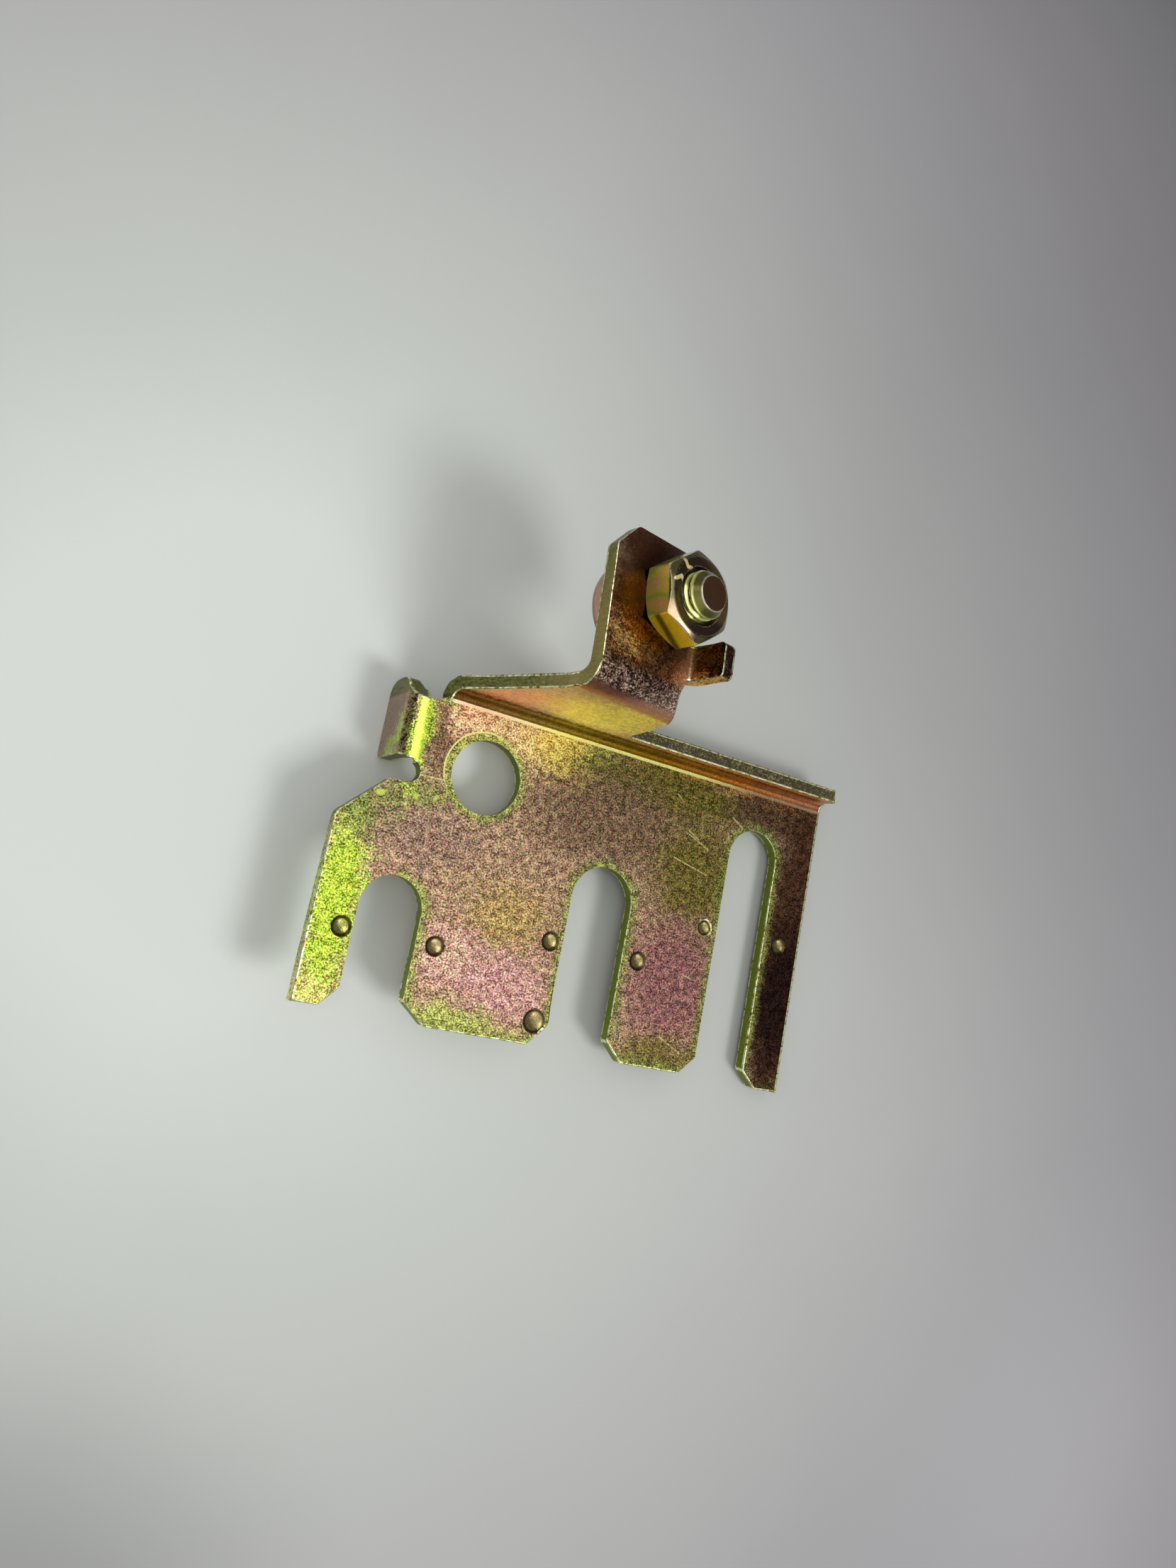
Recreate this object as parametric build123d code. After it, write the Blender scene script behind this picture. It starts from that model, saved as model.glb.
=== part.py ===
from build123d import *
from math import sin, cos, tan, radians
import os

os.makedirs("parts", exist_ok=True)

# ------------------------------------------------------------------ frame
# Millimetres. The origin is the centre of the round hole on the plate's
# outer face (z = 0). +X runs along the first bend, +Y from the fingers to
# the flange, +Z out of the plate, the way the flange is folded.

# ------------------------------------------------------- driving dimensions
SHEET = 1.8                     # sheet thickness

# plate
LEFT_X, RIGHT_X = -17.9, 52.1   # outer edges, 70 apart
HOLE_R = 4.7                    # round hole
FINGER_END = (-30.7, -31.1, -31.45, -31.8)   # lower edge of each finger, left to right
SLOTS = (                       # left x, right x, top of the round end
    (-12.62, -4.62, -14.25),
    (14.82, 23.86, -7.1),
    (37.78, 45.86, 3.1),
)
DIMPLES = (                     # x, y, radius of the punched mark
    (-14.0, -21.4, 1.3), (-2.1, -21.5, 1.3), (13.1, -18.0, 1.3),
    (26.3, -18.1, 1.3), (35.8, -11.8, 1.2), (48.6, -11.9, 1.3),
    (13.0, -28.1, 1.65),
)
DIMPLE_DEPTH = 0.5

# first bend and flange
BEND_Y = 8.3                    # where the plate starts to fold
BEND_R = 1.3                    # inside radius of the folds
LOW_Z = 3.15                    # top of the low lip
FLANGE_Y = BEND_Y + BEND_R      # inner face of the flange

# second bend and lug: the fold line falls to the right
FOLD_TILT = 14.0                # degrees
FOLD_ANGLE = 93.5               # degrees of fold
FOLD_OUT = 3.25                 # outer radius of this fold
LUG_Z = 21.8                    # height of the lug's outer face at x = 0
LUG_LEFT, LUG_RIGHT = 1.7, 17.2 # edges measured along the fold
FOLD_RIGHT = 16.75              # right edge where the flange meets the fold
LUG_LENGTH = 16.8               # from the end of the fold to the free end
RELIEF = (17.9, -0.6, 2.9)      # rounded relief under the side tab: along, up, radius

# side tab on the lug
TAB_X = 16.05                   # inner face, along the fold
TAB_LOW, TAB_HIGH = 1.55, 5.95  # from the end of the fold
TAB_TOP = 5.1                   # above the lug's outer face
TAB_R = 0.6                     # inside radius

# prop tab folded down on the left
PROP_X = -9.2                   # where the plate starts to fold down
PROP_R = 0.6                    # inside radius
PROP_Z = -9.1                   # lower edge

# fasteners, M6
BOLT_AT = (11.9, 10.1)          # axis on the lug: along the fold, up from its end
BOLT_HOLE_R = 3.3
SHANK_R = 2.95
NUT_BORE_R = 3.05
ACROSS_FLATS = 10.0
NUT_TURN = 8.0                  # degrees
NUT_H = 4.2
COLLAR_R, COLLAR_H = 5.4, 0.4
BOLT_OUT = 6.2                  # end of the thread above the lug
HEAD_R, HEAD_H = 6.2, 6.6       # round head behind the lug


def outline(*points):
    """A face bounded by straight lines through the points."""
    return make_face(Polyline(*points, close=True))


# -------------------------------------------------------------------- plate
left_end, first_end, second_end, right_end = FINGER_END
(s1l, s1r, _), (s2l, s2r, _), (s3l, s3r, _) = SLOTS

plate = outline(
    (PROP_X, 7.7), (PROP_X, -3.0), (-12.15, -3.15),
    (-17.5, -8.3), (-17.68, -9.0), (LEFT_X, -22.0), (LEFT_X, left_end),
    (-14.7, left_end), (s1l, left_end + 2.3), (s1l, -24.0),
    (s1r, -24.0), (s1r, first_end + 2.6), (-1.45, first_end),
    (12.5, first_end), (s2l, first_end + 2.6), (s2l, -24.0),
    (s2r, -24.0), (s2r, second_end + 2.4), (26.4, second_end),
    (35.6, second_end), (s3l, second_end + 2.4), (s3l, -24.0),
    (s3r, -24.0), (s3r, right_end + 2.2), (48.3, right_end),
    (RIGHT_X, right_end), (RIGHT_X, BEND_Y), (-7.35, BEND_Y),
    (-7.7, 7.95), (-8.2, 7.75),
)
for left, right, top in SLOTS:
    r = (right - left) / 2
    plate -= Pos((left + right) / 2, top - r) * Circle(r)
    plate -= Pos((left + right) / 2, (top - r - 24.5) / 2) * Rectangle(2 * r, top - r + 24.5)
plate -= Circle(HOLE_R)
plate -= Pos(-9.9, -1.6) * Circle(1.35)             # relief beside the prop tab
plate -= Pos(-11.9, -1.6) * Rectangle(4, 2.7)
bracket = extrude(plate, -SHEET)

# ------------------------------------------------ first bend and the flange
# section across the fold, swept along X, then trimmed to the flange's shape
fold_1 = Pos(0, BEND_Y, BEND_R) * Rot(0, 90, 0) * (Circle(BEND_R + SHEET) - Circle(BEND_R))
corner_1 = Plane.YZ * Pos(BEND_Y + 5, BEND_R - 5) * Rectangle(10, 10)
section_1 = (fold_1 & corner_1) + Plane.YZ * Pos(FLANGE_Y + SHEET / 2, BEND_R + 9) * Rectangle(SHEET, 18)
flange = Pos(-10, 0, 0) * extrude(section_1, 70, dir=(1, 0, 0))

tilt = radians(FOLD_TILT)
along = Vector(cos(tilt), 0, -sin(tilt))
up = Vector(sin(tilt), 0, cos(tilt))


def on_flange(s, h):
    """Flange-plane point s along the sloping fold and h above the lug face."""
    p = along * s + up * h
    return (p.X, LUG_Z + p.Z)


fold_left = on_flange(LUG_LEFT, -FOLD_OUT)
fold_right = on_flange(FOLD_RIGHT, -FOLD_OUT)
flange_shape = outline(
    (-7.35, -4), (-7.3, -1.5), (-6.95, -0.3), (-6.2, 1.3), (-3.7, 6.15), (-1.5, 11.3), (0.6, 16.3),
    fold_left, fold_right,
    (15.6, 12.7), (16.15, 10.2), (16.45, 7.3), (16.6, 4.6), (16.9, 3.6), (17.6, LOW_Z),
    (RIGHT_X, LOW_Z), (RIGHT_X, -4),
)
flange = flange & extrude(Plane.XZ * flange_shape, -30)
bracket += flange

# ------------------------------------------------- second bend and the lug
fold_axis = Vector(0, FLANGE_Y + FOLD_OUT, LUG_Z) - up * FOLD_OUT
fold_plane = Plane(fold_axis, x_dir=(0, -1, 0), z_dir=-along)  # local y is up
ring = Circle(FOLD_OUT) - Circle(FOLD_OUT - SHEET)
a = radians(FOLD_ANGLE)
sector = outline((0, 0), (9, 0), (9, 9), (9 * cos(a), 9 * sin(a)))
fold_2 = extrude(fold_plane.offset(-LUG_LEFT) * (ring & sector), LUG_LEFT - FOLD_RIGHT)

lean = radians(FOLD_ANGLE - 90)
lug_dir = Vector(0, cos(lean), 0) - up * sin(lean)
lug_out = up * cos(lean) + Vector(0, sin(lean), 0)
lug_foot = fold_axis + lug_out * FOLD_OUT
lug_plane = Plane(lug_foot, x_dir=along, z_dir=lug_out)        # outer face of the lug

root = TAB_X - TAB_R            # where the side tab's bend starts
lug = outline(
    (LUG_LEFT, 0), (FOLD_RIGHT, 0), (FOLD_RIGHT, TAB_LOW), (root, TAB_LOW),
    (root, TAB_HIGH + 1.3), (LUG_RIGHT, TAB_HIGH + 1.3),
    (LUG_RIGHT, LUG_LENGTH - 2.5), (LUG_RIGHT - 2.5, LUG_LENGTH),
    (LUG_LEFT + 2.85, LUG_LENGTH), (LUG_LEFT, LUG_LENGTH - 3.1),
)
lug = fillet(lug.vertices().filter_by_position(Axis.Y, LUG_LENGTH - 4, LUG_LENGTH + 1), 0.8)
lug -= Pos(*BOLT_AT) * Circle(BOLT_HOLE_R)
lug = extrude(lug_plane * lug, -SHEET)

# side tab: bend and upright, drawn in section and swept up the lug
tab_place = lug_plane.location * Plane((0, TAB_LOW, 0), x_dir=(1, 0, 0), z_dir=(0, -1, 0)).location
tab_r = TAB_R + SHEET
tab = Pos(TAB_X - TAB_R, TAB_R) * (Circle(tab_r) - Circle(TAB_R))
tab &= Pos(TAB_X - TAB_R + 5, TAB_R - 5) * Rectangle(10, 10)
tab += Pos(TAB_X + SHEET / 2, (TAB_R + TAB_TOP) / 2) * Rectangle(SHEET, TAB_TOP - TAB_R)
tab = extrude(tab, -(TAB_HIGH - TAB_LOW))
free_end = tab.edges().filter_by(Axis.X).group_by(Axis.Y)[-1]
tab = tab_place * fillet(free_end, 0.7)

relief = extrude(lug_plane * Pos(RELIEF[0], RELIEF[1]) * Circle(RELIEF[2]), 4, both=True)
keep = extrude(Plane.XZ.offset(-FLANGE_Y - 20) * outline(
    on_flange(0, -FOLD_OUT), on_flange(30, -FOLD_OUT), on_flange(30, 5), on_flange(0, 5)), 40)
relief = relief & keep
bracket += (fold_2 + lug) - relief
bracket += tab

# ---------------------------------------------------- prop tab on the left
prop_r = PROP_R + SHEET
prop = Plane.XZ * (
    (Pos(PROP_X, -prop_r) * (Circle(prop_r) - Circle(PROP_R)))
    & Pos(PROP_X - 5, -prop_r + 5) * Rectangle(10, 10)
)
prop += Plane.XZ * Pos(PROP_X - prop_r + SHEET / 2, (PROP_Z - prop_r) / 2) * Rectangle(SHEET, -PROP_Z - prop_r)
prop = Pos(0, 15, 0) * extrude(prop, 20)
prop_shape = outline(
    (-0.45, 0), (-0.1, -0.2), (0.14, -0.9), (0.25, -3.8), (0.3, PROP_Z + 0.6), (0.9, PROP_Z),
    (8.9, PROP_Z), (9.8, PROP_Z + 0.45), (10.3, PROP_Z + 1.5), (10.4, -6.0), (10.4, -4.4),
    (10.2, -3.5), (9.8, -2.75), (9.1, -2.0), (8.6, -1.45), (8.15, -0.9), (7.8, -0.3), (7.7, 0),
)
prop = prop & (Pos(PROP_X - 10, 0, 0) * extrude(Plane.YZ * prop_shape, 10))
bracket += prop

# ----------------------------------------------------------- punched marks
# a dished mark on the outer face with its bump on the back
for x, y, r in DIMPLES:
    ball = (r * r + DIMPLE_DEPTH**2) / (2 * DIMPLE_DEPTH)
    back = r * 0.9
    back_ball = (back * back + DIMPLE_DEPTH**2) / (2 * DIMPLE_DEPTH)
    bump = Pos(x, y, -SHEET - DIMPLE_DEPTH + back_ball) * Sphere(back_ball)
    bump = bump & (Pos(x, y, -SHEET - 1) * Cylinder(r, 2.2))
    bracket += bump
    bracket -= Pos(x, y, ball - DIMPLE_DEPTH) * Sphere(ball)

# --------------------------------------------------------------------- nut
bolt_place = lug_plane.location * Pos(BOLT_AT[0], BOLT_AT[1], 0)


def hexagon(height, bevel_r=4.8):
    """A hexagonal prism turned to the nut's pose, its corners bevelled."""
    flats = RegularPolygon(ACROSS_FLATS / 2, 6, major_radius=False)
    prism = extrude(Rot(0, 0, NUT_TURN + 30) * flats, height)
    r = ACROSS_FLATS / 2 / cos(radians(30)) + 0.1
    drop = (r - bevel_r) * tan(radians(30))
    side = outline((0, 0), (bevel_r, 0), (r, drop), (r, height - drop), (bevel_r, height), (0, height))
    return prism & revolve(Plane.XZ * side, Axis.Z)


nut = hexagon(NUT_H - COLLAR_H)
nut = Pos(0, 0, COLLAR_H) * nut + Pos(0, 0, COLLAR_H / 2) * Cylinder(COLLAR_R, COLLAR_H)
nut -= Cylinder(NUT_BORE_R, 3 * NUT_H)
nut -= Pos(0, 0, NUT_H - 0.35) * Cone(NUT_BORE_R - 0.01, NUT_BORE_R + 0.69, 0.7)
nut = bolt_place * nut

# -------------------------------------------------------------------- bolt
shank = Pos(0, 0, (BOLT_OUT - SHEET) / 2) * Cylinder(SHANK_R, BOLT_OUT + SHEET)
shank = chamfer(shank.edges().group_by(Axis.Z)[-1], 0.75)
head = Pos(0, 0, -SHEET - HEAD_H / 2) * Cylinder(HEAD_R, HEAD_H)
head = fillet(head.edges().group_by(Axis.Z)[0], 1.0)
bolt = shank + head
bolt = bolt_place * bolt

for name, shape in (("bracket", bracket), ("nut", nut), ("bolt", bolt)):
    export_step(shape, f"parts/{name}.step")
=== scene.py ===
from math import radians

import bmesh
import bpy
import numpy as np
from mathutils import Matrix, Vector


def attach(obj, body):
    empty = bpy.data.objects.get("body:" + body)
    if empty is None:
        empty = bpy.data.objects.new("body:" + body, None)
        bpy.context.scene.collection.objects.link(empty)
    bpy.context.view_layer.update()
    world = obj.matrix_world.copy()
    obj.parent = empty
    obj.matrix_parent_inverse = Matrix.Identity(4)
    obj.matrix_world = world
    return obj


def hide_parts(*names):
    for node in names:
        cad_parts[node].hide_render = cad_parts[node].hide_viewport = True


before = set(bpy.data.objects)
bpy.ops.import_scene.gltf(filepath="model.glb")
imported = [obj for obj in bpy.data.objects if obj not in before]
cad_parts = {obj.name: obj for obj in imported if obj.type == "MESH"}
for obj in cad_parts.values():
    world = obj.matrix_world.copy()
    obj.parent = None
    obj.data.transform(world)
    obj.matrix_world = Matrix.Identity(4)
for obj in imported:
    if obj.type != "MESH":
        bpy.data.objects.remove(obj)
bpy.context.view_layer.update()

# ------------------------------------------------------------ viewpoint
# The bracket is seen from close above its left fingers, with the plate
# falling away to the right.
LENS, SENSOR_WIDTH = 27.6045, 36      # millimetres
camera = bpy.data.objects.new("viewpoint", bpy.data.cameras.new("viewpoint"))
camera.data.lens, camera.data.sensor_width = LENS, SENSOR_WIDTH
camera.data.clip_start = 0.005
camera.matrix_world = Matrix((
    (0.855285, -0.249184, -0.454307, -0.05688863),
    (0.186656, 0.966076, -0.178484, -0.02503135),
    (0.483371, 0.067856, 0.872782, 0.13632536),
    (0, 0, 0, 1),
))
bpy.context.scene.collection.objects.link(camera)
bpy.context.scene.camera = camera
bpy.context.scene.view_settings.view_transform = "Standard"


# ---------------------------------------------------- bench top and light
# A matt pale bench. The bracket stands on the lower edge of its prop tab
# and on the plate's right edge, so the bench slopes under the plate.
BENCH_POINT = np.array((-0.0116, 0.0, -0.00915))      # metres
BENCH_NORMAL = np.array((-0.113854, 0.0, 0.993497))
BENCH_HALF_WIDTH = 1.2
BENCH_BRIGHT = (-0.02835, -0.00343, -0.01107)         # where painted light makes the bench palest
BENCH_REACH = 0.25                                    # from there to where it is painted darkest
BENCH_SCRUBBED = (       # centre, near, far, gain: patches of painted shade that darken the bench and of painted light that make it paler
    ((0.095, 0.060, 0.003), 0.03, 0.11, 0.80),
    ((0.135, -0.095, 0.008), 0.01, 0.07, 1.35),
    ((-0.036, -0.112, -0.012), 0.015, 0.050, 0.70),
    ((0.0023, 0.0022, -0.0076), 0.003, 0.008, 1.30),
)


def tint(r, g, b):
    """A colour given in 0 to 255 screen values, as linear light with alpha."""
    c = np.array((r, g, b)) / 255
    c = np.where(c < 0.04045, c / 12.92, ((c + 0.055) / 1.055) ** 2.4)
    return (*c, 1)


def node(tree, kind, inputs=None, **settings):
    """Adds a shader node; inputs are sockets to link or values to set."""
    made = tree.nodes.new("ShaderNode" + kind)
    for name, value in settings.items():
        setattr(made, name, value)
    for name, value in (inputs or {}).items():
        if isinstance(value, bpy.types.NodeSocket):
            tree.links.new(value, made.inputs[name])
        else:
            made.inputs[name].default_value = value
    return made


def calc(tree, operation, a, b=0.0, c=0.0, clamp=False):
    """One step of arithmetic on numbers that vary over the surface."""
    made = node(tree, "Math", {0: a, 1: b, 2: c}, operation=operation, use_clamp=clamp)
    return made.outputs[0]


def gather(tree, operation, *values):
    """All the values joined, one after another, by one step of arithmetic."""
    total = values[0]
    for value in values[1:]:
        total = calc(tree, operation, total, value)
    return total


def vector(tree, operation, a, b=(0, 0, 0)):
    """One step of arithmetic on positions or directions."""
    made = node(tree, "VectorMath", {0: a, 1: b}, operation=operation)
    gives_number = operation in ("DOT_PRODUCT", "LENGTH", "DISTANCE")
    return made.outputs["Value" if gives_number else "Vector"]


def dot(tree, position, way):
    """How far position lies along way, a fixed direction."""
    return vector(tree, "DOT_PRODUCT", position, tuple(way))


def fade(tree, value, low, high, to_low=0.0, to_high=1.0):
    """A smooth step of value from low to high."""
    return node(tree, "MapRange", {"Value": value, "From Min": low, "From Max": high,
                                   "To Min": to_low, "To Max": to_high},
                interpolation_type="SMOOTHSTEP").outputs["Result"]


def fade_out(tree, value, low, high, most=1.0):
    """A smooth step down to nought as value goes from low to high."""
    return fade(tree, value, low, high, most, 0.0)


def noise(tree, position, scale, detail, roughness=0.5, coloured=False):
    """A random cloud over position, as a number or as three of them in a colour."""
    made = node(tree, "TexNoise", {"Vector": position, "Scale": scale,
                                   "Detail": detail, "Roughness": roughness})
    return made.outputs[1 if coloured else 0]


def blend(tree, amount, first, second, how="MIX"):
    """The first colour, changed by the second as far as amount says."""
    made = node(tree, "Mix", {0: amount, 6: first, 7: second}, data_type="RGBA", blend_type=how)
    return made.outputs[2]


def ramp(tree, value, *stops):
    """Colours along value; stops are (place, colour)."""
    made = node(tree, "ValToRGB", {0: value})
    points = made.color_ramp.elements
    while len(points) < len(stops):
        points.new(0.5)
    for point, (place, colour) in zip(points, stops):
        point.position, point.color = place, colour
    return made.outputs[0]


def material(name):
    """A new node material, its tree and its shader."""
    made = bpy.data.materials.new(name)
    made.use_nodes = True
    tree = made.node_tree
    return made, tree, tree.nodes["Principled BSDF"]


# four corners: the bench's point, plus and minus its half width both ways
across_way = np.array((BENCH_NORMAL[2], 0, -BENCH_NORMAL[0]))
deep_way = np.array((0, 1, 0))
across, deep = np.meshgrid((-BENCH_HALF_WIDTH, BENCH_HALF_WIDTH),
                           (-BENCH_HALF_WIDTH, BENCH_HALF_WIDTH))
corners = BENCH_POINT + across.reshape(-1, 1) * across_way + deep.reshape(-1, 1) * deep_way
bench = bpy.data.objects.new("bench", bpy.data.meshes.new("bench"))
bench.data.from_pydata(corners.tolist(), [], [(0, 1, 3, 2)])
bpy.context.scene.collection.objects.link(bench)

bench_paint, tree, shader = material("bench_paint")
place = node(tree, "TexCoord").outputs["Object"]
# the bench is painted paler near its brightest point and darker away from it: a painted pool of
# light
mottle = calc(tree, "MULTIPLY", noise(tree, place, 60, 3), 0.006)
reach = calc(tree, "ADD", vector(tree, "DISTANCE", place, BENCH_BRIGHT), mottle)
paint = ramp(tree, calc(tree, "MULTIPLY", reach, 1 / BENCH_REACH),
             (0.0, tint(209, 214, 209)), (0.13, tint(210, 214, 209)),
             (0.24, tint(191, 195, 189)), (0.42, tint(171, 171, 170)),
             (0.60, tint(147, 146, 148)), (0.74, tint(127, 125, 128)),
             (0.93, tint(96, 96, 98)))
# painted shade and painted light, one patch after another
for centre, near, far, gain in BENCH_SCRUBBED:
    patch = fade_out(tree, vector(tree, "DISTANCE", place, centre), near, far)
    paint = blend(tree, patch, paint, (gain, gain, gain, 1), "MULTIPLY")
tree.links.new(paint, shader.inputs["Base Color"])
shader.inputs["Roughness"].default_value = 0.75
shader.inputs["Specular IOR Level"].default_value = 0.25
bench.data.materials.append(bench_paint)

PLATE_MIDDLE = Vector((0.012, -0.005, 0.0))


def lamp(name, place, size, power):
    """A soft square lamp that looks at the plate and isn't mirrored in it."""
    made = bpy.data.objects.new(name, bpy.data.lights.new(name, "AREA"))
    made.data.size, made.data.energy = size, power
    made.location = place
    made.rotation_euler = (Vector(place) - PLATE_MIDDLE).to_track_quat("Z", "Y").to_euler()
    made.visible_glossy = False
    bpy.context.scene.collection.objects.link(made)


lamp("window", (0.505, -0.445, 0.955), 0.34, 6.6)
lamp("ceiling", (-0.36, -0.06, 0.92), 0.30, 0.8)

# the room is even to everything but gloss, which mirrors its brighter parts
ROOM_LEVEL = 0.64
MIRRORED = (       # direction, cosines where it starts and is full, level before and after
    ((-0.05, -0.35, 0.935), 0.60, 0.92, 0.30, 1.3),     # the ceiling
    ((-0.33, 0.31, 0.89), 0.90, 0.985, 0.0, 2.8),       # a skylight
    ((0.47, -0.52, 0.713), 0.965, 0.99, 0.0, 2.6),      # a desk lamp
)
world = bpy.data.worlds.new("room")
bpy.context.scene.world = world
world.use_nodes = True
tree = world.node_tree
glossy = node(tree, "LightPath").outputs["Is Glossy Ray"]
towards = node(tree, "TexCoord").outputs["Generated"]
room_glow = gather(tree, "ADD", *[
    fade(tree, dot(tree, towards, way), *limits) for way, *limits in MIRRORED])
plain = calc(tree, "MULTIPLY", calc(tree, "SUBTRACT", 1.0, glossy), ROOM_LEVEL)
strength = calc(tree, "ADD", calc(tree, "MULTIPLY", glossy, room_glow), plain)
tree.links.new(strength, tree.nodes["Background"].inputs["Strength"])
tree.nodes["Background"].inputs["Color"].default_value = (1, 1, 1, 1)


# ---------------------------------------------------------- bent bracket
# One blank stamped from 1.8 mm steel, folded up for the arm, folded again
# for the lug and down for the prop tab, then plated in yellow zinc.
SAME_POINT = 2e-6          # metres
FLAT_WITHIN = radians(1)
EDGE_ROLL, SHARPER_THAN = 0.00026, radians(38)
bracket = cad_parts["bracket"]
weld = bracket.modifiers.new("joined_facets", "WELD")
weld.merge_threshold = SAME_POINT
whole = bracket.modifiers.new("whole_faces", "DECIMATE")
whole.decimate_type, whole.angle_limit = "DISSOLVE", FLAT_WITHIN
rolled = bracket.modifiers.new("rolled_edges", "BEVEL")
rolled.width, rolled.segments, rolled.limit_method = EDGE_ROLL, 2, "ANGLE"
rolled.offset_type, rolled.use_clamp_overlap = "ABSOLUTE", False
rolled.angle_limit = SHARPER_THAN
rolled.material = 1          # the edges have a finish of their own, worn and painted as a highlight
rolled.harden_normals = True


def group(name, inputs, outputs):
    """An empty node group with named sockets: its tree, what it is given and what it puts out."""
    tree = bpy.data.node_groups.new(name, "ShaderNodeTree")
    for way, sockets in (("INPUT", inputs), ("OUTPUT", outputs)):
        for label, kind in sockets.items():
            tree.interface.new_socket(label, in_out=way, socket_type="NodeSocket" + kind)
    given = tree.nodes.new("NodeGroupInput").outputs
    return tree, given, tree.nodes.new("NodeGroupOutput").inputs


def use(tree, built, **inputs):
    """Places a node group and gives its inputs by name."""
    return node(tree, "Group", inputs, node_tree=built).outputs


def product(tree, *masks):
    """All the masks multiplied together."""
    return gather(tree, "MULTIPLY", *masks)


def highest(tree, *masks):
    """The greatest of the masks at each place."""
    return gather(tree, "MAXIMUM", *masks)


def lowest(tree, *distances):
    """The least of the distances at each place."""
    return gather(tree, "MINIMUM", *distances)


def band(tree, value, middle, near, far):
    """One where value is within near of middle, and nought beyond far."""
    return fade_out(tree, calc(tree, "ABSOLUTE", calc(tree, "SUBTRACT", value, middle)), near, far)


def scaled(tree, way, length):
    """The direction way, made as long as length says."""
    return node(tree, "VectorMath", {0: way, "Scale": length}, operation="SCALE").outputs[0]


def stretched(tree, position, scale, turn=(0, 0, 0)):
    """Position turned and scaled, so that a pattern on it runs long and leans."""
    made = node(tree, "Mapping", {"Vector": position, "Rotation": turn, "Scale": scale})
    return made.outputs[0]


def in_millimetres(tree):
    """The piece's own coordinates, in millimetres."""
    place = node(tree, "TexCoord").outputs["Object"]
    return vector(tree, "MULTIPLY", place, (1000, 1000, 1000))


# a soft-edged patch where the passivation film is thicker or thinner
film_patch, given, out = group(
    "film_patch",
    {"Colour": "Color", "Position": "Vector", "Centre": "Vector", "Reach": "Vector",
     "Film": "Color", "Amount": "Float"},
    {"Colour": "Color"})
offset = vector(film_patch, "SUBTRACT", given["Position"], given["Centre"])
far = vector(film_patch, "LENGTH", vector(film_patch, "DIVIDE", offset, given["Reach"]))
cover = product(film_patch, fade_out(film_patch, far, 0.45, 1.35), given["Amount"])
film_patch.links.new(blend(film_patch, cover, given["Colour"], given["Film"]), out["Colour"])

# peppery grain of the pickled sheet under the zinc, with fine dark hairlines and grains painted to
# sparkle
sheet_grain, given, out = group(
    "sheet_grain", {"Position": "Vector", "Size": "Float"},
    {"Speck": "Float", "Flake": "Float", "Hair": "Float", "Mottle": "Float", "Height": "Float"})
per_size = calc(sheet_grain, "DIVIDE", 1.0, given["Size"])
fine = noise(sheet_grain, given["Position"], per_size, 2, 0.7)
coarse = noise(sheet_grain, given["Position"],
               calc(sheet_grain, "MULTIPLY", per_size, 0.25), 4, 0.65)
hair = highest(sheet_grain, *[
    fade(sheet_grain, noise(sheet_grain, stretched(
        sheet_grain, given["Position"], (0.55, 6.5, 1.0), (0, 0, lean)), 1.0, 1), 0.69, 0.76)
    for lean in (0.5, -0.9)])
clumped = calc(sheet_grain, "MULTIPLY_ADD", coarse, 0.55, calc(sheet_grain, "MULTIPLY", fine, 0.8))
sheet_grain.links.new(fade_out(sheet_grain, clumped, 0.56, 0.69), out["Speck"])
# the grains that get a painted sparkle, a painted highlight
sheet_grain.links.new(fade(sheet_grain, clumped, 0.70, 0.82), out["Flake"])
sheet_grain.links.new(hair, out["Hair"])
sheet_grain.links.new(fade(sheet_grain, coarse, 0.35, 0.65), out["Mottle"])
sheet_grain.links.new(calc(sheet_grain, "MULTIPLY_ADD", coarse, 0.6, fine), out["Height"])

# distance in millimetres to the nearest punched edge of the plate
HOLE_RADIUS = 4.7
SLOTS = ((-12.62, -4.62, -14.25), (14.82, 23.86, -7.1), (37.78, 45.86, 3.1))   # left, right, top
PLATE_LEFT, PLATE_FOOT = -17.9, -31.2
SHOULDER_WAY, SHOULDER_FAR = (-0.693, 0.721, 0), 10.1      # the clipped upper left corner
plate_edge, given, out = group("plate_edge", {"Position": "Vector"}, {"Distance": "Float"})
across, up, _ = node(plate_edge, "SeparateXYZ", {0: given["Position"]}).outputs
flattened = vector(plate_edge, "MULTIPLY", given["Position"], (1, 1, 0))
edges = [calc(plate_edge, "SUBTRACT", vector(plate_edge, "LENGTH", flattened), HOLE_RADIUS)]
for left, right, top in SLOTS:       # the distance from its middle line, less half its width
    half = (right - left) / 2
    beside = calc(plate_edge, "SUBTRACT", across, (left + right) / 2)
    above = highest(plate_edge, calc(plate_edge, "SUBTRACT", up, top - half), 0.0)
    squares = calc(plate_edge, "MULTIPLY_ADD", beside, beside, product(plate_edge, above, above))
    edges.append(calc(plate_edge, "SUBTRACT", calc(plate_edge, "SQRT", squares), half))
edges.append(calc(plate_edge, "SUBTRACT", across, PLATE_LEFT))
edges.append(calc(plate_edge, "SUBTRACT", up, PLATE_FOOT))
towards_shoulder = dot(plate_edge, given["Position"], SHOULDER_WAY)
shoulder = calc(plate_edge, "SUBTRACT", SHOULDER_FAR, towards_shoulder)
right_of_shoulder = calc(plate_edge, "MULTIPLY", calc(plate_edge, "ADD", across, 11.0), 0.5)
edges.append(highest(plate_edge, shoulder, right_of_shoulder))
plate_edge.links.new(lowest(plate_edge, *edges), out["Distance"])

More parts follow.
